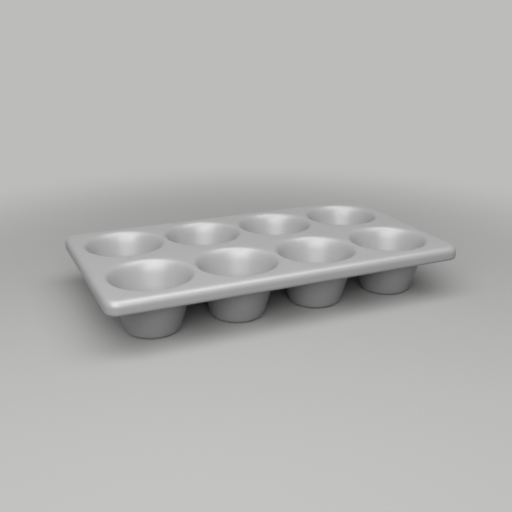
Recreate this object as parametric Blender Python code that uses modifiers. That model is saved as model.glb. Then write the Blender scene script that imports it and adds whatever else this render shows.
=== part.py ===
"""Muffin tray for eight muffins: a soft moulded tray held flat by a wire frame in its rim.

The tray stands on its cups at z = 0, centred on the origin, with its long side along X.
All lengths are in metres.
"""

import math

import bmesh
import bpy

# Cups, inside. The wall is a straight cone, which a lip turns over onto the deck.
COLUMNS = 4
ROWS = 2
CUP_TOP_RADIUS = 0.0374  # where the straight wall would cross the top of the deck
CUP_DEPTH = 0.0516
WALL_LEAN = math.radians(16.3)
LIP_DEPTH = 0.009
CUP_FLOOR_FILLET = 0.008

# Cups, outside
CUP_WALL = 0.0038
CUP_FLOOR = 0.003
CUP_BASE_FILLET = 0.0055
ROOT_REACH = 0.0006  # how far the wall spreads where it meets the underside of the deck
ROOT_DEPTH = 0.004

# Deck and rim, around the cups
COLUMN_LAND = 0.0017  # flat deck between the lips of two mouths
ROW_LAND = 0.0123
END_LAND = 0.011
SIDE_LAND = 0.01175
DECK_THICKNESS = 0.003
CORNER_RADIUS = 0.0114
TOP_EDGE_FILLET = 0.0065
LOWER_EDGE_FILLET = 0.003

# Wire frame, and the snap groove that holds it in the rim
HOOP_DIAMETER = 0.005
CROSS_WIRE_DIAMETER = 0.003
CROSS_WIRE_OVERHANG = 0.001  # past the middle of the hoop, where the two are welded
CROSS_WIRE_CLEARANCE = 0.001  # to the cups on each side
SEAT_GAP = 0.0003  # between pieces that touch
RIM_WALL = 0.0022  # on each side of the groove
GROOVE_LIP = 0.0024  # height of the lips that close under the hoop
GROOVE_MOUTH = 0.0026  # narrower than the hoop, which snaps past it

# Fineness of the round shapes
CUP_SIDES = 24
CORNER_STEPS = 6
FILLET_STEPS = 3
LIP_STEPS = 4
GROOVE_STEPS = 9
WIRE_BEVEL_RESOLUTION = 3
LEAST_FILLET = 0.001
SHARP_ANGLE = math.radians(40)
CUTTER_MARGIN = 0.004  # how far a cutter stands out of what it cuts

# Heights of the tray and its frame
deck_top = CUP_FLOOR + CUP_DEPTH
deck_underside = deck_top - DECK_THICKNESS
cross_wire_height = deck_underside - SEAT_GAP - CROSS_WIRE_DIAMETER / 2
hoop_height = cross_wire_height - CROSS_WIRE_DIAMETER / 2 - SEAT_GAP - HOOP_DIAMETER / 2
rim_bottom = hoop_height - HOOP_DIAMETER / 2 - GROOVE_LIP


def inner_radius(height):
    """Radius of the straight part of the cup's inner wall at a height."""
    return CUP_TOP_RADIUS - (deck_top - height) * math.tan(WALL_LEAN)


def outer_radius(height):
    return inner_radius(height) + CUP_WALL / math.cos(WALL_LEAN)


# Plan of the tray. The columns stand as close as the cross wires between them allow, and the lips
# spread until only the land is left between them.
column_pitch = 2 * (outer_radius(cross_wire_height) + CROSS_WIRE_CLEARANCE) + CROSS_WIRE_DIAMETER
mouth_radius = (column_pitch - COLUMN_LAND) / 2
row_pitch = 2 * mouth_radius + ROW_LAND
tray_length = (COLUMNS - 1) * column_pitch + 2 * (mouth_radius + END_LAND)
tray_width = (ROWS - 1) * row_pitch + 2 * (mouth_radius + SIDE_LAND)
rim_width = HOOP_DIAMETER + 2 * (SEAT_GAP + RIM_WALL)
hoop_length = tray_length - rim_width
hoop_width = tray_width - rim_width
hoop_bend = CORNER_RADIUS - rim_width / 2
cross_wire_length = hoop_width + 2 * CROSS_WIRE_OVERHANG

cup_centres = [
    ((column - (COLUMNS - 1) / 2) * column_pitch, (row - (ROWS - 1) / 2) * row_pitch)
    for row in range(ROWS)
    for column in range(COLUMNS)
]


def clear_scene():
    for obj in list(bpy.data.objects):
        bpy.data.objects.remove(obj, do_unlink=True)


def new_collection(name, parent, hidden=False):
    collection = bpy.data.collections.new(name)
    collection.hide_render = hidden
    parent.children.link(collection)
    return collection


def new_material(name, colour, roughness, metallic):
    material = bpy.data.materials.new(name)
    material.use_nodes = True
    shader = material.node_tree.nodes["Principled BSDF"]
    shader.inputs["Base Color"].default_value = (*colour, 1)
    shader.inputs["Roughness"].default_value = roughness
    shader.inputs["Metallic"].default_value = metallic
    return material


def new_object(name, data, collection, location=(0, 0, 0), parent=None):
    obj = bpy.data.objects.new(name, data)
    obj.location = location
    obj.parent = parent
    if collection.hide_render:
        obj.hide_render = True
        obj.display_type = "WIRE"
    collection.objects.link(obj)
    return obj


def evaluated_mesh(obj):
    """A new mesh of the object's shape with its modifiers applied, or of a curve's swept shape."""
    bpy.context.view_layer.update()
    evaluated = obj.evaluated_get(bpy.context.evaluated_depsgraph_get())
    return bpy.data.meshes.new_from_object(evaluated)


def finish_shape(obj):
    """Apply the modifiers, then shade the round surfaces smooth and leave the real edges sharp."""
    mesh = evaluated_mesh(obj)
    mesh.name = obj.name
    obj.modifiers.clear()
    obj.data = mesh
    mesh.shade_smooth()
    mesh.set_sharp_from_angle(angle=SHARP_ANGLE)


def bevel_edges(bm, edges, radius, steps):
    bmesh.ops.bevel(
        bm,
        geom=edges,
        offset=radius,
        offset_type="OFFSET",
        segments=steps,
        profile=0.5,
        affect="EDGES",
        clamp_overlap=False,
    )


def rounded_block(name, length, width, bottom, top, corner=0, top_fillet=0, lower_fillet=0):
    """Mesh of a slab with rounded corners in plan, and its upper and lower edges rounded if asked."""
    bm = bmesh.new()
    bmesh.ops.create_cube(bm, size=1)
    bmesh.ops.scale(bm, vec=(length, width, top - bottom), verts=bm.verts)
    bmesh.ops.translate(bm, vec=(0, 0, (top + bottom) / 2), verts=bm.verts)
    upright = [e for e in bm.edges if abs(e.verts[0].co.z - e.verts[1].co.z) > (top - bottom) / 2]
    if corner:
        bevel_edges(bm, upright, corner, CORNER_STEPS)
    for radius, side in ((top_fillet, 1), (lower_fillet, -1)):
        if radius:
            flat = max(bm.faces, key=lambda face: side * face.calc_center_median().z)
            bevel_edges(bm, list(flat.edges), radius, FILLET_STEPS)
    mesh = bpy.data.meshes.new(name)
    bm.to_mesh(mesh)
    bm.free()
    return mesh


def rounded_loop(length, width, radius):
    """Points round a rectangle with rounded corners, counter-clockwise, in the plane z = 0."""
    points = []
    for quarter, (side_x, side_y) in enumerate(((1, 1), (-1, 1), (-1, -1), (1, -1))):
        for step in range(CORNER_STEPS + 1):
            angle = (quarter + step / CORNER_STEPS) * math.pi / 2
            x = side_x * (length / 2 - radius) + radius * math.cos(angle)
            y = side_y * (width / 2 - radius) + radius * math.sin(angle)
            points.append((x, y, 0))
    return points


def path_curve(name, points, closed):
    curve = bpy.data.curves.new(name, "CURVE")
    curve.dimensions = "3D"
    spline = curve.splines.new("POLY")
    spline.points.add(len(points) - 1)
    for spot, point in zip(spline.points, points):
        spot.co = (*point, 1)
    spline.use_cyclic_u = closed
    return curve


def wire_curve(name, points, diameter, closed=False):
    curve = path_curve(name, points, closed)
    curve.bevel_depth = diameter / 2
    curve.bevel_resolution = WIRE_BEVEL_RESOLUTION
    curve.use_fill_caps = not closed
    return curve


def ring_mesh(name, profile):
    """Closed mesh of a profile carried round the path of the hoop.

    The profile is given as (distance outwards from the path, height) points, counter-clockwise
    when seen with the outside of the tray on the right.
    """
    loops = []
    for out, height in profile:
        loop = rounded_loop(hoop_length + 2 * out, hoop_width + 2 * out, hoop_bend + out)
        loops.append([(x, y, height) for x, y, z in loop])
    count = len(loops[0])
    faces = []
    for ring in range(len(loops)):
        after = (ring + 1) % len(loops)
        for i in range(count):
            j = (i + 1) % count
            faces.append((ring * count + i, ring * count + j, after * count + j, after * count + i))
    mesh = bpy.data.meshes.new(name)
    mesh.from_pydata([point for loop in loops for point in loop], [], faces)
    return mesh


def profile_mesh(name, profile):
    """Edges along a turned profile, given as (radius, height) points from the top down."""
    mesh = bpy.data.meshes.new(name)
    edges = [(i, i + 1) for i in range(len(profile) - 1)]
    mesh.from_pydata([(r, 0, z) for r, z in profile], edges, [])
    return mesh


def turn(obj):
    screw = obj.modifiers.new("turn", "SCREW")
    screw.axis = "Z"
    screw.angle = 2 * math.pi
    screw.steps = CUP_SIDES
    screw.render_steps = CUP_SIDES
    screw.use_merge_vertices = True
    screw.merge_threshold = 1e-5


def boolean(obj, operation, other):
    """Cut or join with one object, or with all the objects of a collection."""
    modifier = obj.modifiers.new(f"{operation.lower()}_{other.name}", "BOOLEAN")
    modifier.operation = operation
    modifier.solver = "EXACT"
    if isinstance(other, bpy.types.Collection):
        modifier.operand_type = "COLLECTION"
        modifier.collection = other
    else:
        modifier.object = other


def foot(wall_radius, height, fillet):
    """Points from the wall down to the edge of the flat foot, round a fillet, for a foot at a height."""
    centre = wall_radius(height) + fillet * (math.tan(WALL_LEAN) - 1 / math.cos(WALL_LEAN))
    start = -WALL_LEAN
    end = -math.pi / 2
    angles = [start + (end - start) * step / FILLET_STEPS for step in range(FILLET_STEPS + 1)]
    return [(centre + fillet * math.cos(a), height + fillet + fillet * math.sin(a)) for a in angles]


def blend(start, corner, end):
    """Points along the parabola that leaves start towards the corner and arrives at end from it."""
    points = []
    for step in range(LIP_STEPS + 1):
        t = step / LIP_STEPS
        points.append(
            tuple((1 - t) ** 2 * a + 2 * t * (1 - t) * b + t * t * c for a, b, c in zip(start, corner, end))
        )
    return points


def closed_profile(top, rim, base):
    """Points from the axis at the top, down the rim and the base, and back to the axis.

    The rim's first step is carried on a little upwards, so that it crosses the deck's surface.
    """
    over = tuple(1.2 * a - 0.2 * b for a, b in zip(rim[0], rim[1]))
    return [(0, top), (over[0], top), over] + rim[1:] + base + [(0, base[-1][1])]


def cup_outside_profile():
    spread = outer_radius(deck_underside) + ROOT_REACH
    root_start = deck_underside - ROOT_DEPTH
    root = blend(
        (spread, deck_underside),
        (outer_radius(deck_underside), deck_underside),
        (outer_radius(root_start), root_start),
    )
    inside_deck = deck_underside + DECK_THICKNESS / 2
    return closed_profile(inside_deck, root, foot(outer_radius, 0, CUP_BASE_FILLET))


def cup_hollow_profile():
    lip_end = deck_top - LIP_DEPTH
    lip = blend(
        (mouth_radius, deck_top),
        (inner_radius(deck_top), deck_top),
        (inner_radius(lip_end), lip_end),
    )
    above = deck_top + CUTTER_MARGIN
    return closed_profile(above, lip, foot(inner_radius, CUP_FLOOR, CUP_FLOOR_FILLET))


def make_cups(name, profile, parent):
    collection = new_collection(name, parent, hidden=True)
    mesh = profile_mesh(name, profile)
    for number, (x, y) in enumerate(cup_centres, 1):
        turn(new_object(f"{name}_{number}", mesh, collection, (x, y, 0)))
    return collection


def make_tray_moulding(parts, cutters, root):
    """The slab is hollowed from below to the deck and rim, then gets its cups and the frame's groove."""
    slab = rounded_block(
        "tray_moulding",
        tray_length,
        tray_width,
        rim_bottom,
        deck_top,
        CORNER_RADIUS,
        TOP_EDGE_FILLET,
        LOWER_EDGE_FILLET,
    )
    slab.materials.append(new_material("light_grey_silicone", (0.47, 0.47, 0.47), 0.5, 0))
    tray = new_object("tray_moulding", slab, parts, parent=root)

    boolean(tray, "DIFFERENCE", make_frame_cutters(cutters))
    boolean(tray, "UNION", make_cups("cup_outsides", cup_outside_profile(), cutters))
    boolean(tray, "DIFFERENCE", make_cups("cup_hollows", cup_hollow_profile(), cutters))
    finish_shape(tray)


def groove_profile(low):
    """A keyhole: the round channel that the hoop lies in, and the narrower mouth under it."""
    radius = HOOP_DIAMETER / 2 + SEAT_GAP
    half_mouth = GROOVE_MOUTH / 2
    open_angle = math.asin(half_mouth / radius)
    profile = [(half_mouth, low)]
    for step in range(GROOVE_STEPS + 1):
        angle = open_angle - math.pi / 2 + (2 * math.pi - 2 * open_angle) * step / GROOVE_STEPS
        profile.append((radius * math.cos(angle), hoop_height + radius * math.sin(angle)))
    profile.append((-half_mouth, low))
    return profile


def make_frame_cutters(parent):
    """What shapes the slab from below: the pocket under the deck, the groove that holds the hoop,
    and a notch in the inner side of the rim for each end of a cross wire."""
    cutters = new_collection("frame_cutters", parent, hidden=True)
    low = rim_bottom - CUTTER_MARGIN
    length = tray_length - 2 * rim_width
    width = tray_width - 2 * rim_width
    corner = max(CORNER_RADIUS - rim_width, LEAST_FILLET)
    pocket = rounded_block("deck_pocket", length, width, low, deck_underside, corner)
    new_object("deck_pocket", pocket, cutters)

    new_object("groove", ring_mesh("groove", groove_profile(low)), cutters)

    roof = deck_underside + SEAT_GAP
    notch_width = CROSS_WIRE_DIAMETER + 2 * SEAT_GAP
    notch = rounded_block("wire_notch", notch_width, rim_width, low, roof)
    reach = cross_wire_length / 2 + SEAT_GAP - rim_width / 2
    for name, x in cross_wire_places():
        new_object(f"notch_{name}_front", notch, cutters, (x, -reach, 0))
        new_object(f"notch_{name}_rear", notch, cutters, (x, reach, 0))
    return cutters


def cross_wire_places():
    """Name and X of each cross wire: midway between neighbouring columns of cups."""
    names = ("left", "centre", "right")
    for number in range(COLUMNS - 1):
        name = names[number] if COLUMNS - 1 == len(names) else str(number + 1)
        yield name, (number - (COLUMNS - 2) / 2) * column_pitch


def make_wire_frame(parts, root):
    """A closed hoop, with the cross wires welded on top of it where they lie under the deck."""
    steel = new_material("stainless_wire", (0.55, 0.55, 0.56), 0.3, 1)
    frame = new_object("wire_frame", None, parts, (0, 0, hoop_height), root)
    loop = rounded_loop(hoop_length, hoop_width, hoop_bend)
    hoop = wire_curve("rim_hoop", loop, HOOP_DIAMETER, closed=True)
    hoop.materials.append(steel)
    new_object("rim_hoop", hoop, parts, parent=frame)
    for name, x in cross_wire_places():
        ends = [(0, -cross_wire_length / 2, 0), (0, cross_wire_length / 2, 0)]
        wire = wire_curve(f"cross_wire_{name}", ends, CROSS_WIRE_DIAMETER)
        wire.materials.append(steel)
        place = (x, 0, cross_wire_height - hoop_height)
        new_object(f"cross_wire_{name}", wire, parts, place, frame)


clear_scene()
scene_collection = bpy.context.scene.collection
tray_parts = new_collection("muffin_tray", scene_collection)
tray_cutters = new_collection("muffin_tray_cutters", scene_collection, hidden=True)
muffin_tray = new_object("muffin_tray", None, tray_parts)
make_tray_moulding(tray_parts, tray_cutters, muffin_tray)
make_wire_frame(tray_parts, muffin_tray)
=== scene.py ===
"""Muffin tray: a soft grey silicone moulding on a stainless wire frame, on a pale studio floor."""

import math

import bmesh
import bpy
import numpy as np
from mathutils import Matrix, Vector


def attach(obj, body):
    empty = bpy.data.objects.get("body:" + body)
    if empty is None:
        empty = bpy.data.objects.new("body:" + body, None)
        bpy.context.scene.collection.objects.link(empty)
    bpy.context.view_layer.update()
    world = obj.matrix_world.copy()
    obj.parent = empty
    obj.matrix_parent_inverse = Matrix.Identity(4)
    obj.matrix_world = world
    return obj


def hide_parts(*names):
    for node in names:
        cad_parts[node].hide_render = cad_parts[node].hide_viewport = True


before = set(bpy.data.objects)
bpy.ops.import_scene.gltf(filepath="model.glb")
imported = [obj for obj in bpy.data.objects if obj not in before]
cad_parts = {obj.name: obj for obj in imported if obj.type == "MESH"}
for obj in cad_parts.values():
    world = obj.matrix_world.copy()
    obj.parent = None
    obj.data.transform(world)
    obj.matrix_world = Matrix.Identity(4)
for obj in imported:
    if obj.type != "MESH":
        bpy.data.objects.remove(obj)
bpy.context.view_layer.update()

# Camera: a 50 mm lens a little above the tray, in front of its left end, so that the long front
# edge runs away to the right.
CAMERA_PLACE = (-0.28495, -0.63630, 0.28490)
CAMERA_AIM = (0.38362, 0.86083, -0.33436)
camera_data = bpy.data.cameras.new("camera")
camera_data.lens = 50
camera_data.sensor_width = 36
camera = bpy.data.objects.new("camera", camera_data)
camera.location = CAMERA_PLACE
camera.rotation_euler = Vector(CAMERA_AIM).to_track_quat("-Z", "Y").to_euler()
bpy.context.scene.collection.objects.link(camera)
bpy.context.scene.camera = camera

# The tray: one piece of platinum-cured silicone, moulded in a steel tool. Its thick rim, its deck
# and its eight cups run into each other without a seam, and each cup turns over onto the deck
# in a wide soft lip.
MM = 0.001
COLUMN_PITCH = 84.911 * MM
ROW_PITCH = 95.511 * MM
HALF_LENGTH = 179.972 * MM
HALF_WIDTH = 101.111 * MM
CORNER = 11.4 * MM
DECK_TOP = 54.6 * MM
DECK_UNDERSIDE = 51.6 * MM
TOP_EDGE = 6.5 * MM
LOWER_EDGE = 3.0 * MM
RIM_BOTTOM = 40.6 * MM
RIM_WIDTH = 10.0 * MM
HOOP_HEIGHT = 45.5 * MM
CHANNEL_RADIUS = 2.8 * MM
HALF_MOUTH = 1.3 * MM
NOTCH_HALF = 1.8 * MM
GROOVE_EDGE = 0.4 * MM
INNER_EDGE = 0.8 * MM

WALL_LEAN = math.radians(16.3)
WALL_TOP_RADIUS = 37.4 * MM  # where the straight wall would cross the top of the deck
WALL_OUT = 3.959 * MM  # from the inner wall to the outer one, on the level
CUP_FLOOR = 3.0 * MM
FLOOR_FILLET = 8.0 * MM
BASE_FILLET = 5.5 * MM
LIP_REACH = 42.5 * MM
LIP_DEPTH = 13.0 * MM
LIP_TIGHTNESS = 1.0
RINGS_END = 41.0 * MM  # where the circles of a cup's inside end and the steps outwards begin
ROOT_HEIGHT = 4.0 * MM  # of the flare where a cup's outside meets the deck
ROOT_FLARE = 0.6 * MM


def wall_radius(height):
    """Radius of the inner wall: a straight cone."""
    return WALL_TOP_RADIUS - (DECK_TOP - height) * math.tan(WALL_LEAN)


def lip_curve(t):
    """Lip from the deck (t = 0) to the wall (t = 1).

    A conic: the weighted mean of the point where it leaves the deck, the corner where deck and
    wall would cross, and the point where it meets the wall, with weights (1-t)^2, 2wt(1-t), t^2.
    """
    ends = (LIP_REACH, WALL_TOP_RADIUS, wall_radius(DECK_TOP - LIP_DEPTH))
    drops = (0.0, 0.0, LIP_DEPTH)
    weights = ((1 - t) ** 2, 2 * LIP_TIGHTNESS * t * (1 - t), t * t)
    total = sum(weights)
    radius = sum(w * r for w, r in zip(weights, ends)) / total
    drop = sum(w * d for w, d in zip(weights, drops)) / total
    return radius, drop


def lip_drop(radius):
    """How far a lip lies below the deck at a distance from its cup's axis, read off the conic."""
    radii, drops = lip_curve(np.linspace(1, 0, 2001))
    return np.interp(radius, radii, drops)


def fillet_arc(centre_r, centre_z, radius, start, end, steps):
    """Points on a circle: centre plus radius times (cos a, sin a), for a from start to end."""
    angle = np.linspace(start, end, steps + 1)
    return centre_r + radius * np.cos(angle), centre_z + radius * np.sin(angle)


def side_stations(low, high, cuts, count):
    """Places along a side from low to high: all the cuts, with even steps between them."""
    knots = [low] + [c for c in cuts if low < c < high] + [high]
    places = [np.array([low])]
    for a, b in zip(knots, knots[1:]):
        steps = max(1, round(count * (b - a) / (high - low)))
        places.append(np.linspace(a, b, steps + 1)[1:])
    return np.concatenate(places)


CORNER_STEPS = 8
LONG_SIDE_STEPS = 120
SHORT_SIDE_STEPS = 66
# The signs of x and y at each corner and the quarter turns to it, counter-clockwise.
CORNERS = ((1, 1, 0), (-1, 1, 1), (-1, -1, 2), (1, -1, 3))
straight_x = HALF_LENGTH - CORNER
straight_y = HALF_WIDTH - CORNER
borders = [-COLUMN_PITCH, 0.0, COLUMN_PITCH]
notch_cuts = sorted(b + s * NOTCH_HALF for b in borders for s in (-1, 0, 1))
x_stations = side_stations(-straight_x, straight_x, notch_cuts, LONG_SIDE_STEPS)
y_stations = side_stations(-straight_y, straight_y, [0.0], SHORT_SIDE_STEPS)


def plan_loop():
    """Stations round the plan, counter-clockwise from the middle of the right end.

    Each station is a point on the rectangle through the corners' centres and the unit vector
    that points straight out of the tray there, so that inset(d) is point + vector * (corner - d).
    """
    upper = y_stations[y_stations >= 0]
    turn = np.linspace(0, math.pi / 2, CORNER_STEPS + 1)[1:-1]
    quarter = []
    for sign_x, sign_y, start in CORNERS:
        angle = turn + start * math.pi / 2
        corner = np.tile([sign_x * straight_x, sign_y * straight_y], (len(angle), 1))
        quarter.append((corner, np.stack([np.cos(angle), np.sin(angle)], 1)))

    def side(xs, ys, normal):
        points = np.stack(np.broadcast_arrays(xs, ys), 1)
        return points, np.broadcast_to(np.array(normal, float), points.shape)

    pieces = [
        side(straight_x, upper, (1, 0)),
        quarter[0],
        side(x_stations[::-1], straight_y, (0, 1)),
        quarter[1],
        side(-straight_x, y_stations[::-1], (-1, 0)),
        quarter[2],
        side(x_stations, -straight_y, (0, -1)),
        quarter[3],
        side(straight_x, y_stations[y_stations < 0], (1, 0)),
    ]
    return np.concatenate([p[0] for p in pieces]), np.concatenate([p[1] for p in pieces])


loop_points, loop_normals = plan_loop()


def inset(distance):
    return loop_points + loop_normals * (CORNER - distance)


def cell_border(column, row, distance):
    """The border of one cup's share of the plan, counter-clockwise, at an inset from the edge.

    It is the stretch of the plan loop that lies in the cell, closed along the lines midway to
    the neighbouring cups.
    """
    half = HALF_LENGTH - distance, HALF_WIDTH - distance
    xs = [-half[0]] + borders + [half[0]]
    west, east = xs[column], xs[column + 1]
    side = -1 if row == 0 else 1
    outline = inset(distance)
    eps = 1e-7
    inside = (
        (outline[:, 0] > west - eps)
        & (outline[:, 0] < east + eps)
        & (outline[:, 1] * side > -eps)
    )
    first = np.flatnonzero(inside & ~np.roll(inside, 1))[0]
    stretch = np.roll(outline, -first, axis=0)[: inside.sum()]

    column_stations = np.linspace(0, 1, 34)[1:-1]
    row_stations = np.linspace(0, 1, 30)[1:-1]

    def line(a, b, share):
        return a + (b - a) * share[:, None]

    start, end = stretch[0], stretch[-1]
    corner_end = np.array([end[0], 0.0])
    corner_start = np.array([start[0], 0.0])
    pieces = [stretch]
    if abs(end[1]) > eps:
        pieces += [line(end, corner_end, column_stations), corner_end[None]]
    pieces.append(line(corner_end, corner_start, row_stations))
    if abs(start[1]) > eps:
        pieces += [corner_start[None], line(corner_start, start, column_stations)]
    return np.concatenate(pieces)


def grid_faces(rows, columns, start):
    """Quads of a grid that closes on itself in its second direction."""
    r, c = np.meshgrid(np.arange(rows - 1), np.arange(columns), indexing="ij")
    after = (c + 1) % columns
    row, next_row = r * columns, (r + 1) * columns
    quads = np.stack([row + c, next_row + c, next_row + after, row + after], -1)
    return quads.reshape(-1, 4) + start


def cup_inside_rows():
    """Radius and height of the rows of the cup's inside, from the floor's centre to the lip."""
    end_slope = math.tan(WALL_LEAN) - 1 / math.cos(WALL_LEAN)
    centre = wall_radius(CUP_FLOOR) + FLOOR_FILLET * end_slope
    fillet_r, fillet_z = fillet_arc(
        centre, CUP_FLOOR + FLOOR_FILLET, FLOOR_FILLET, -math.pi / 2, -WALL_LEAN, 7
    )
    wall_z = np.linspace(fillet_z[-1], DECK_TOP - LIP_DEPTH, 10)[1:-1]
    radii, drops = lip_curve(np.linspace(1, 0, 400))
    last = np.flatnonzero(radii > RINGS_END)[0]
    radii, drops = radii[: last + 1], drops[: last + 1]
    length = np.concatenate([[0], np.cumsum(np.hypot(np.diff(radii), np.diff(drops)))])
    along = np.linspace(0, length[-1], 17)
    lip_r = np.interp(along, length, radii)
    lip_z = DECK_TOP - np.interp(along, length, drops)
    flat = np.linspace(0, centre, 4)[:-1]
    rows_r = np.concatenate([flat, fillet_r, wall_radius(wall_z), lip_r])
    rows_z = np.concatenate([np.full(3, CUP_FLOOR), fillet_z, wall_z, lip_z])
    return rows_r, rows_z


def cup_outside_rows():
    """Radius and height of the rows of the cup's outside, from the deck to the base's centre."""
    share = np.linspace(0, 1, 5)
    root_z = DECK_UNDERSIDE - share**2 * ROOT_HEIGHT
    root_r = wall_radius(root_z) + WALL_OUT + ROOT_FLARE * (1 - share) ** 2
    end_slope = math.tan(WALL_LEAN) - 1 / math.cos(WALL_LEAN)
    centre = wall_radius(0) + WALL_OUT + BASE_FILLET * end_slope
    fillet_r, fillet_z = fillet_arc(centre, BASE_FILLET, BASE_FILLET, -WALL_LEAN, -math.pi / 2, 7)
    wall_z = np.linspace(root_z[-1], fillet_z[0], 8)[1:-1]
    wall_r = wall_radius(wall_z) + WALL_OUT
    flat = np.linspace(centre, 0, 4)[1:]
    rows_r = np.concatenate([root_r, wall_r, fillet_r, flat])
    rows_z = np.concatenate([root_z, wall_z, fillet_z, np.zeros(3)])
    return rows_r, rows_z


def rim_section():
    """Inset and height of the rim's section, and the row on which the notch's end wall starts.

    The section runs from the deck round the edge and the groove and up to the deck's underside.
    """
    middle = RIM_WIDTH / 2
    opening = math.asin(HALF_MOUTH / CHANNEL_RADIUS)
    parts = []

    def run(insets, heights):
        parts.append(np.broadcast_arrays(insets, heights))

    quarter = np.linspace(0, math.pi / 2, 9)[1:]
    run(TOP_EDGE * (1 - np.sin(quarter)), DECK_TOP - TOP_EDGE * (1 - np.cos(quarter)))
    run(0.0, np.linspace(DECK_TOP - TOP_EDGE, RIM_BOTTOM + LOWER_EDGE, 4)[1:])
    quarter = np.linspace(0, math.pi / 2, 5)[1:]
    run(LOWER_EDGE * (1 - np.cos(quarter)), RIM_BOTTOM + LOWER_EDGE * (1 - np.sin(quarter)))
    quarter = np.linspace(0, math.pi / 2, 4)
    run(
        middle - HALF_MOUTH - GROOVE_EDGE * (1 - np.sin(quarter)),
        RIM_BOTTOM + GROOVE_EDGE * (1 - np.cos(quarter)),
    )
    lower = np.linspace(opening, math.pi - opening, 9)
    upper = np.linspace(math.pi - opening, 2 * math.pi - opening, 13)[1:]
    run(middle - CHANNEL_RADIUS * np.sin(lower), HOOP_HEIGHT - CHANNEL_RADIUS * np.cos(lower))
    notch_row = sum(len(insets) for insets, _ in parts) - 1
    run(middle - CHANNEL_RADIUS * np.sin(upper), HOOP_HEIGHT - CHANNEL_RADIUS * np.cos(upper))
    run(
        middle + HALF_MOUTH + GROOVE_EDGE * (1 - np.cos(quarter)),
        RIM_BOTTOM + GROOVE_EDGE * (1 - np.sin(quarter)),
    )
    run(
        RIM_WIDTH - INNER_EDGE * (1 - np.sin(quarter)),
        RIM_BOTTOM + INNER_EDGE * (1 - np.cos(quarter)),
    )
    run(RIM_WIDTH, np.linspace(RIM_BOTTOM + INNER_EDGE, DECK_UNDERSIDE, 3)[1:])
    depth, level = (np.concatenate(values) for values in zip(*parts))
    return depth, level, notch_row


def tray_surfaces():
    """Points and faces of the whole moulding, as grids that share their border points."""
    points, faces = [], []
    total = 0

    def add(grid):
        nonlocal total
        rows, columns = grid.shape[:2]
        points.append(grid.reshape(-1, 3))
        faces.append(grid_faces(rows, columns, total))
        total += rows * columns

    centres = [
        ((column - 1.5) * COLUMN_PITCH, (row - 0.5) * ROW_PITCH)
        for row in range(2)
        for column in range(4)
    ]
    inside_r, inside_z = cup_inside_rows()
    outside_r, outside_z = cup_outside_rows()
    for number, centre in enumerate(centres):
        row, column = divmod(number, 4)
        # Inside and deck: circles up to the lip, then even steps out to the cell's border. The
        # height is the deck's, less the drops of this cup's lip and of all its neighbours' lips.
        border = cell_border(column, row, TOP_EDGE) - centre
        reach = np.hypot(border[:, 0], border[:, 1])
        heading = border / reach[:, None]
        share = np.linspace(0, 1, 7)[1:, None]
        circles = np.repeat(inside_r[:, None], len(reach), 1)
        beyond = inside_r[-1] + share * (reach - inside_r[-1])
        flat = np.concatenate([circles, beyond])[..., None] * heading + centre
        in_cup = np.repeat(inside_z[:, None], len(reach), 1)
        height = np.concatenate([in_cup, DECK_TOP - lip_drop(beyond)])
        for other in centres:
            if other != centre:
                height -= lip_drop(np.hypot(flat[..., 0] - other[0], flat[..., 1] - other[1]))
        add(np.concatenate([flat, height[..., None]], -1))

        # Outside, from the border under the deck to the middle of the base.
        border = cell_border(column, row, RIM_WIDTH) - centre
        reach = np.hypot(border[:, 0], border[:, 1])
        heading = border / reach[:, None]
        share = np.linspace(1, 0, 4)[:-1, None]
        beyond = outside_r[0] + share * (reach - outside_r[0])
        circles = np.repeat(outside_r[:, None], len(reach), 1)
        flat = np.concatenate([beyond, circles])[..., None] * heading + centre
        height = np.concatenate([np.full(3, DECK_UNDERSIDE), outside_z])
        height = np.repeat(height[:, None], len(reach), 1)
        add(np.concatenate([flat, height[..., None]], -1))

    # Rim: its section carried round the plan. In the notches for the cross wires the inner side
    # of the section is left out, and an end wall, a roof and two cheeks take its place.
    depth, level, notch_row = rim_section()
    depth = np.concatenate([[TOP_EDGE], depth])
    level = np.concatenate([[DECK_TOP], level])
    notch_row += 1
    stations = len(loop_points)
    rim = np.stack(
        [np.column_stack([inset(d), np.full(stations, z)]) for d, z in zip(depth, level)]
    )
    rows, columns = rim.shape[:2]
    quads = grid_faces(rows, columns, total).reshape(rows - 1, columns, 4)
    keep = np.ones((rows - 1, columns), bool)
    loose, extra = [], []
    on_side = np.abs(np.abs(loop_points[:, 1]) - straight_y) < 1e-9
    next_total = total + rows * columns
    for wire in borders:
        for side in (-1, 1):
            there = on_side & (np.abs(loop_normals[:, 1] - side) < 1e-9)
            there &= np.abs(loop_points[:, 0] - wire) < NOTCH_HALF + 1e-6
            first, middle, last = np.flatnonzero(there)
            keep[notch_row:, [first, middle]] = False
            corners = inset(RIM_WIDTH / 2 - HALF_MOUTH)[[first, middle, last]]
            a, b, c = (next_total + len(extra) + step for step in range(3))
            extra += [(x, y, DECK_UNDERSIDE) for x, y in corners]
            arc = total + notch_row * columns
            top = total + (rows - 1) * columns
            loose += [(arc + first, a, b, arc + middle), (arc + middle, b, c, arc + last)]
            loose += [(a, top + first, top + middle, b), (b, top + middle, top + last, c)]
            for station, corner in ((first, a), (last, c)):
                column_points = [total + r * columns + station for r in range(notch_row, rows)]
                loose.append(tuple(column_points + [corner]))
    points.append(rim.reshape(-1, 3))
    points.append(np.array(extra))
    faces.append(quads[keep])
    return np.concatenate(points), np.concatenate(faces), loose


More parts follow.
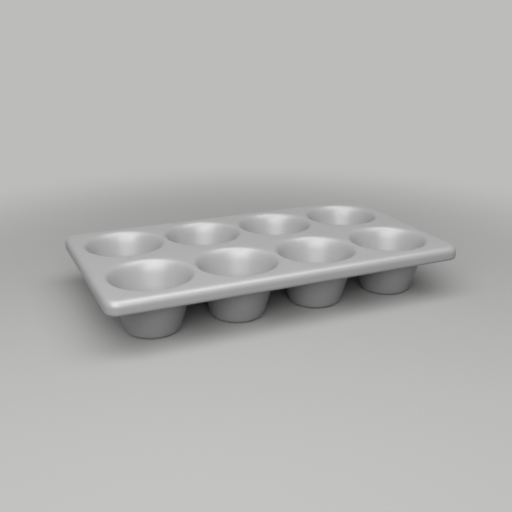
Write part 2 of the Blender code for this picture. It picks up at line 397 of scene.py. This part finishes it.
tray_points, tray_quads, notch_faces = tray_surfaces()
tray_mesh = bpy.data.meshes.new("silicone_tray")
tray_mesh.from_pydata(tray_points.tolist(), [], tray_quads.tolist() + notch_faces)
welded = bmesh.new()
welded.from_mesh(tray_mesh)
bmesh.ops.remove_doubles(welded, verts=welded.verts, dist=2e-6)
bmesh.ops.recalc_face_normals(welded, faces=welded.faces)
welded.to_mesh(tray_mesh)
welded.free()
tray_mesh.shade_smooth()
tray_mesh.set_sharp_from_angle(angle=math.radians(40))
tray = bpy.data.objects.new("silicone_tray", tray_mesh)
bpy.context.scene.collection.objects.link(tray)
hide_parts("tray_moulding")
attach(tray, "root")

# Silicone finish: neutral grey pigment with faint clouding, a fine grain from the blasted mould
# and slightly uneven gloss, which makes the highlights on the lips and the rim broad and soft.
SILICONE_GREY = 0.45
SILICONE_INDEX = 1.66
GLOSS_LOW, GLOSS_HIGH = 0.37, 0.43
GRAIN_HEIGHT = 0.03 * MM
silicone = bpy.data.materials.new("silicone")
silicone.use_nodes = True
nodes, links = silicone.node_tree.nodes, silicone.node_tree.links
shader = nodes["Principled BSDF"]
shader.inputs["IOR"].default_value = SILICONE_INDEX
shader.inputs["Specular IOR Level"].default_value = 1.0
place = nodes.new("ShaderNodeTexCoord")


def noise(scale, detail):
    """Fractal noise on Object coordinates, with the number of waves per metre given by scale."""
    texture = nodes.new("ShaderNodeTexNoise")
    texture.inputs["Scale"].default_value = scale
    texture.inputs["Detail"].default_value = detail
    links.new(place.outputs["Object"], texture.inputs["Vector"])
    return texture.outputs["Fac"]


def spread(value, low, high):
    """Map noise, which lies mostly between 0.3 and 0.7, onto the range from low to high."""
    mapped = nodes.new("ShaderNodeMapRange")
    mapped.inputs["From Min"].default_value = 0.3
    mapped.inputs["From Max"].default_value = 0.7
    mapped.inputs["To Min"].default_value = low
    mapped.inputs["To Max"].default_value = high
    links.new(value, mapped.inputs["Value"])
    return mapped.outputs["Result"]


clouds = nodes.new("ShaderNodeCombineColor")
shade = spread(noise(38, 3), SILICONE_GREY * 0.975, SILICONE_GREY * 1.025)
for channel in ("Red", "Green", "Blue"):
    links.new(shade, clouds.inputs[channel])
links.new(clouds.outputs["Color"], shader.inputs["Base Color"])
links.new(spread(noise(160, 4), GLOSS_LOW, GLOSS_HIGH), shader.inputs["Roughness"])
grain = nodes.new("ShaderNodeBump")
grain.inputs["Distance"].default_value = GRAIN_HEIGHT
grain.inputs["Strength"].default_value = 0.35
links.new(noise(2600, 2), grain.inputs["Height"])
links.new(grain.outputs["Normal"], shader.inputs["Normal"])
tray_mesh.materials.append(silicone)

# Rim hoop: 5 mm stainless wire, bent to the rim's line and butt-welded into a closed loop at the
# middle of the rear side. It is pressed past the lips of the groove under the rim.
HOOP_RADIUS = 2.5 * MM
HOOP_HALF_LENGTH = 174.972 * MM
HOOP_HALF_WIDTH = 96.111 * MM
HOOP_BEND = 6.4 * MM
WELD_SWELL = 0.12 * MM
WELD_WIDTH = 0.8 * MM
WELD_REACH = 2.4 * MM
WIRE_SIDES = 28


def wire_surface(name, path, outward, radius, closed, shape=None):
    """A wire: circles carried along a path, in the plane of its outward vector and the vertical.

    The point at angle a on station s is path(s) + radius(s) * (outward(s) cos a + up sin a). The
    UV map runs along the wire in metres and once round it.
    """
    stations = len(path)
    angle = np.linspace(0, 2 * math.pi, WIRE_SIDES, endpoint=False)
    up = np.array([0.0, 0.0, 1.0])
    ring = outward[:, None] * np.cos(angle)[None, :, None] + up * np.sin(angle)[None, :, None]
    points = path[:, None] + np.asarray(radius)[:, None, None] * ring
    if shape:
        points = shape(points)
    spans = stations if closed else stations - 1
    s, k = np.meshgrid(np.arange(spans), np.arange(WIRE_SIDES), indexing="ij")
    s2, k2 = (s + 1) % stations, (k + 1) % WIRE_SIDES
    here, after = s * WIRE_SIDES, s2 * WIRE_SIDES
    quads = np.stack([here + k, here + k2, after + k2, after + k], -1)
    faces = quads.reshape(-1, 4).tolist()
    if not closed:
        faces.append(list(range(WIRE_SIDES))[::-1])
        faces.append(list(range((stations - 1) * WIRE_SIDES, stations * WIRE_SIDES)))
    mesh = bpy.data.meshes.new(name)
    mesh.from_pydata(points.reshape(-1, 3).tolist(), [], faces)

    length = np.concatenate([[0], np.cumsum(np.linalg.norm(np.diff(path, axis=0), axis=1))])
    step = np.linalg.norm(path[0] - path[-1]) if closed else 0
    along = np.append(length, length[-1] + step)
    u = np.stack([along[s], along[s], along[s + 1], along[s + 1]], -1).reshape(-1)
    v = np.stack([k, k + 1, k + 1, k], -1).reshape(-1) / WIRE_SIDES
    uv = np.zeros((len(mesh.loops), 2))
    uv[: len(u)] = np.stack([u, v], -1)
    mesh.uv_layers.new(name="along_wire").data.foreach_set("uv", uv.reshape(-1))

    solid = bmesh.new()
    solid.from_mesh(mesh)
    bmesh.ops.recalc_face_normals(solid, faces=solid.faces)
    solid.to_mesh(mesh)
    solid.free()
    mesh.shade_smooth()
    mesh.set_sharp_from_angle(angle=math.radians(40))
    wire = bpy.data.objects.new(name, mesh)
    bpy.context.scene.collection.objects.link(wire)
    return wire


def hoop_path():
    """Stations round the hoop: a rectangle's sides, joined by quarter circles of the bend."""
    turn = np.linspace(0, math.pi / 2, 13)
    reach_x, reach_y = HOOP_HALF_LENGTH - HOOP_BEND, HOOP_HALF_WIDTH - HOOP_BEND
    path, outward = [], []
    for sign_x, sign_y, start in CORNERS:
        angle = turn + start * math.pi / 2
        normal = np.stack([np.cos(angle), np.sin(angle), np.zeros_like(angle)], 1)
        bend_centre = np.array([sign_x * reach_x, sign_y * reach_y, HOOP_HEIGHT])
        path.append(bend_centre + HOOP_BEND * normal)
        outward.append(normal)
        if start == 0:
            weld = np.tile([0.0, HOOP_HALF_WIDTH, HOOP_HEIGHT], (17, 1))
            weld[:, 0] = np.linspace(-WELD_REACH, WELD_REACH, 17)[::-1]
            path.append(weld)
            outward.append(np.tile([0.0, 1.0, 0.0], (17, 1)))
    return np.concatenate(path), np.concatenate(outward)


hoop_line, hoop_outward = hoop_path()
on_rear_side = hoop_line[:, 1] > HOOP_HALF_WIDTH - 1 * MM
at_weld = np.exp(-((hoop_line[:, 0] / WELD_WIDTH) ** 2)) * on_rear_side
hoop_radius = HOOP_RADIUS + WELD_SWELL * at_weld
hoop_wire = wire_surface("hoop_wire", hoop_line, hoop_outward, hoop_radius, True)
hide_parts("rim_hoop")
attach(hoop_wire, "root")

# Stainless finish: bright drawn wire, with long drawing lines and patches where it was polished.
# The cross wires also have a straw-coloured heat tint beside each weld.
STEEL_GREY = (0.55, 0.55, 0.56, 1)
STRAW_TINT = (0.56, 0.47, 0.33, 1)
BLUE_TINT = (0.34, 0.33, 0.4, 1)
TINT_REACH = 9 * MM


def drawn_steel(name, welded_ends):
    """Noise stretched along the wire's UV map sets the roughness and the drawing lines.

    The heat tint follows how near a point is to the hoop, |y| up to half the hoop's width.
    """
    steel = bpy.data.materials.new(name)
    steel.use_nodes = True
    nodes, links = steel.node_tree.nodes, steel.node_tree.links
    shader = nodes["Principled BSDF"]
    shader.inputs["Metallic"].default_value = 1
    shader.inputs["Base Color"].default_value = STEEL_GREY
    place = nodes.new("ShaderNodeTexCoord")
    stretch = nodes.new("ShaderNodeMapping")
    stretch.inputs["Scale"].default_value = (22, 9, 1)
    links.new(place.outputs["UV"], stretch.inputs["Vector"])
    lines = nodes.new("ShaderNodeTexNoise")
    lines.inputs["Scale"].default_value = 3
    lines.inputs["Detail"].default_value = 5
    links.new(stretch.outputs["Vector"], lines.inputs["Vector"])
    gloss = nodes.new("ShaderNodeMapRange")
    gloss.inputs["From Min"].default_value = 0.3
    gloss.inputs["From Max"].default_value = 0.7
    gloss.inputs["To Min"].default_value = 0.22
    gloss.inputs["To Max"].default_value = 0.4
    links.new(lines.outputs["Fac"], gloss.inputs["Value"])
    links.new(gloss.outputs["Result"], shader.inputs["Roughness"])
    scratches = nodes.new("ShaderNodeBump")
    scratches.inputs["Distance"].default_value = 0.00002
    scratches.inputs["Strength"].default_value = 0.5
    links.new(lines.outputs["Fac"], scratches.inputs["Height"])
    links.new(scratches.outputs["Normal"], shader.inputs["Normal"])
    if not welded_ends:
        return steel
    axes = nodes.new("ShaderNodeSeparateXYZ")
    links.new(place.outputs["Object"], axes.inputs["Vector"])
    from_middle = nodes.new("ShaderNodeMath")
    from_middle.operation = "ABSOLUTE"
    links.new(axes.outputs["Y"], from_middle.inputs[0])
    near_weld = nodes.new("ShaderNodeMapRange")
    near_weld.inputs["From Min"].default_value = HOOP_HALF_WIDTH - TINT_REACH
    near_weld.inputs["From Max"].default_value = HOOP_HALF_WIDTH
    links.new(from_middle.outputs[0], near_weld.inputs["Value"])
    tint = nodes.new("ShaderNodeValToRGB")
    tint.color_ramp.elements[0].color = STEEL_GREY
    tint.color_ramp.elements[1].position = 0.55
    tint.color_ramp.elements[1].color = STRAW_TINT
    tint.color_ramp.elements.new(0.85).color = BLUE_TINT
    links.new(near_weld.outputs["Result"], tint.inputs["Fac"])
    links.new(tint.outputs["Color"], shader.inputs["Base Color"])
    return steel


hoop_wire.data.materials.append(drawn_steel("drawn_steel", False))

# Cross wires: three straight 3 mm wires under the deck between the columns of cups, cut square
# and resistance-welded on top of the hoop, which presses a small foot into each end.
CROSS_RADIUS = 1.5 * MM
CROSS_HALF_LENGTH = 97.111 * MM
CROSS_HEIGHT = 49.8 * MM
WELD_PRESS = 0.33 * MM
WELD_SPREAD = 0.12  # share by which the foot is wider than the wire
WELD_FALL = 1.5 * MM
FOOT_START = HOOP_HALF_WIDTH - 4 * MM
CUT_CHAMFER = 0.25 * MM


def welded_foot(points):
    """Press the underside of a wire down, and the wire a little wider, where it crosses the hoop.

    The press falls off as exp(-(y distance / WELD_FALL)^2). Down, it works on the lower half only.
    """
    middle = points.mean(axis=1, keepdims=True)
    press = np.exp(-(((np.abs(points[..., 1]) - HOOP_HALF_WIDTH) / WELD_FALL) ** 2))
    below = np.clip((middle[..., 2] - points[..., 2]) / CROSS_RADIUS, 0, 1)
    points[..., 2] -= WELD_PRESS * press * below
    points[..., 0] += WELD_SPREAD * press * (points[..., 0] - middle[..., 0])
    return points


end = CROSS_HALF_LENGTH
weld_y = np.linspace(FOOT_START, end - CUT_CHAMFER, 19)
half_y = np.concatenate([np.linspace(0, FOOT_START, 9)[1:-1], weld_y, [end]])
cross_y = np.concatenate([-half_y[::-1], [0], half_y])
cross_radius = np.where(np.abs(cross_y) > end - 1e-6, CROSS_RADIUS - CUT_CHAMFER, CROSS_RADIUS)
cross_steel = drawn_steel("drawn_steel_heat_tinted", True)
for name, x in (("left", -COLUMN_PITCH), ("centre", 0.0), ("right", COLUMN_PITCH)):
    line = np.stack([np.full_like(cross_y, x), cross_y, np.full_like(cross_y, CROSS_HEIGHT)], 1)
    outward = np.tile([1.0, 0.0, 0.0], (len(cross_y), 1))
    cross_wire = wire_surface(
        f"cross_wire_{name}_rod", line, outward, cross_radius, False, welded_foot
    )
    cross_wire.data.materials.append(cross_steel)
    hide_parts(f"cross_wire_{name}")
    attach(cross_wire, "root")

# Studio: a wide sheet of pale paper under the tray. The lamps light it round the tray. Past their
# reach it is shown at the level of the pale background, so that it ends in no horizon.
PAPER_SEEN = (0.5, 0.5, 0.495, 1)
PAPER_BOUNCE = (0.12, 0.12, 0.12, 1)
BACKGROUND = (0.5, 0.5, 0.495, 1)
PAPER_REACH = 12.0
LAMPS_FADE = 0.2  # distance from the tray's middle at which the lit paper starts to give way
LAMPS_END = 0.62


def any_seen_ray(nodes, links):
    """1 for a ray from the camera or off a glossy surface, and 0 for all other light."""
    ray = nodes.new("ShaderNodeLightPath")
    either = nodes.new("ShaderNodeMath")
    either.operation = "MAXIMUM"
    links.new(ray.outputs["Is Camera Ray"], either.inputs[0])
    links.new(ray.outputs["Is Glossy Ray"], either.inputs[1])
    return either.outputs[0]


paper_mesh = bpy.data.meshes.new("paper")
corners = [(x * PAPER_REACH, y * PAPER_REACH, 0) for x, y in ((-1, -1), (1, -1), (1, 1), (-1, 1))]
paper_mesh.from_pydata(corners, [], [(0, 1, 2, 3)])
paper = bpy.data.objects.new("paper", paper_mesh)
bpy.context.scene.collection.objects.link(paper)
paper_material = bpy.data.materials.new("pale_paper")
paper_material.use_nodes = True
nodes, links = paper_material.node_tree.nodes, paper_material.node_tree.links
shader = nodes["Principled BSDF"]
shader.inputs["Roughness"].default_value = 0.9
seen = any_seen_ray(nodes, links)
colour = nodes.new("ShaderNodeMix")
colour.data_type = "RGBA"
colour.inputs["A"].default_value = PAPER_BOUNCE
colour.inputs["B"].default_value = PAPER_SEEN
links.new(seen, colour.inputs["Factor"])
links.new(colour.outputs["Result"], shader.inputs["Base Color"])
paper_place = nodes.new("ShaderNodeTexCoord")
from_tray = nodes.new("ShaderNodeVectorMath")
from_tray.operation = "LENGTH"
links.new(paper_place.outputs["Object"], from_tray.inputs[0])
fade = nodes.new("ShaderNodeMapRange")
fade.interpolation_type = "SMOOTHSTEP"
fade.inputs["From Min"].default_value = LAMPS_FADE
fade.inputs["From Max"].default_value = LAMPS_END
links.new(from_tray.outputs["Value"], fade.inputs["Value"])
far_share = nodes.new("ShaderNodeMath")
far_share.operation = "MULTIPLY"
links.new(fade.outputs["Result"], far_share.inputs[0])
links.new(seen, far_share.inputs[1])
level = nodes.new("ShaderNodeEmission")
level.inputs["Color"].default_value = BACKGROUND
surface = nodes.new("ShaderNodeMixShader")
links.new(far_share.outputs[0], surface.inputs["Fac"])
links.new(shader.outputs["BSDF"], surface.inputs[1])
links.new(level.outputs["Emission"], surface.inputs[2])
links.new(surface.outputs["Shader"], nodes["Material Output"].inputs["Surface"])
paper_mesh.materials.append(paper_material)


def soft_box(name, azimuth, elevation, distance, wide, tall, radiance):
    """A rectangular softbox aimed at the tray, from an azimuth to the right of straight in front.

    Its power is pi * area * radiance, so a radiance of 1 looks white from any distance.
    """
    azimuth, elevation = math.radians(azimuth), math.radians(elevation)
    flat = math.cos(elevation)
    towards = Vector((math.sin(azimuth) * flat, -math.cos(azimuth) * flat, math.sin(elevation)))
    data = bpy.data.lights.new(name, "AREA")
    data.shape = "RECTANGLE"
    data.size = wide
    data.size_y = tall
    data.energy = math.pi * wide * tall * radiance
    lamp = bpy.data.objects.new(name, data)
    lamp.location = towards * distance + Vector((0, 0, 0.04))
    lamp.rotation_euler = towards.to_track_quat("Z", "Y").to_euler()
    lamp.visible_camera = False
    bpy.context.scene.collection.objects.link(lamp)


soft_box("key", azimuth=-31, elevation=32, distance=1.1, wide=1.1, tall=0.6, radiance=3.25)
soft_box("overhead", azimuth=-15, elevation=72, distance=1.1, wide=1.8, tall=0.8, radiance=2.3)

ROOM_LIGHT = (0.04, 0.04, 0.04, 1)
world = bpy.data.worlds.new("world")
bpy.context.scene.world = world
world.use_nodes = True
nodes, links = world.node_tree.nodes, world.node_tree.links
sky = nodes.new("ShaderNodeMix")
sky.data_type = "RGBA"
sky.inputs["A"].default_value = ROOM_LIGHT
sky.inputs["B"].default_value = BACKGROUND
links.new(any_seen_ray(nodes, links), sky.inputs["Factor"])
links.new(sky.outputs["Result"], nodes["Background"].inputs["Color"])
nodes["Background"].inputs["Strength"].default_value = 1

bpy.context.scene.view_settings.view_transform = "Standard"
